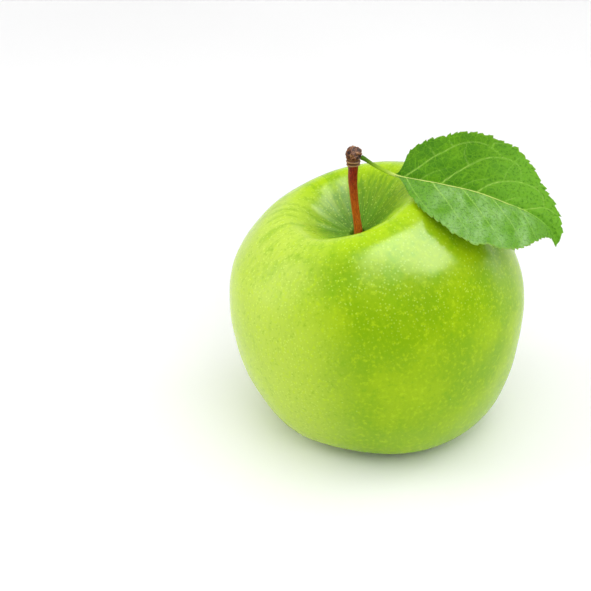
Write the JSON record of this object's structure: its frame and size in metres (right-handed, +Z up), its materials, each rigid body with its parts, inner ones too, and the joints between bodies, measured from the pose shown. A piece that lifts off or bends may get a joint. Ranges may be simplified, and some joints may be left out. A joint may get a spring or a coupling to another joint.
{
  "type": "apple",
  "caption": "Whole green apple standing upright, with its stem, a woody spur stub, a toothed green leaf and the dried flower remains in its base.",
  "frame": {"origin": "on the floor, under the middle of the bounding box of the whole apple with its leaf", "axes": "+Z up, +X towards the side that the leaf hangs over, -Y towards the viewer's front"},
  "size_m": [0.0862, 0.0766, 0.0821],
  "materials": {
    "apple_skin": "gloss",
    "stem_bark": "satin",
    "spur_bark": "matte",
    "leaf_green": "satin",
    "dried_sepal": "matte",
    "dried_stamen": "matte"
  },
  "bodies": {
    "root": {"fruit": "apple_skin", "stem": "stem_bark", "spur_stub": "spur_bark", "leaf": "leaf_green", "sepal_1": "dried_sepal", "sepal_2": "dried_sepal", "sepal_3": "dried_sepal", "sepal_4": "dried_sepal", "sepal_5": "dried_sepal", "dried_stamens": "dried_stamen"}
  },
  "joints": []
}
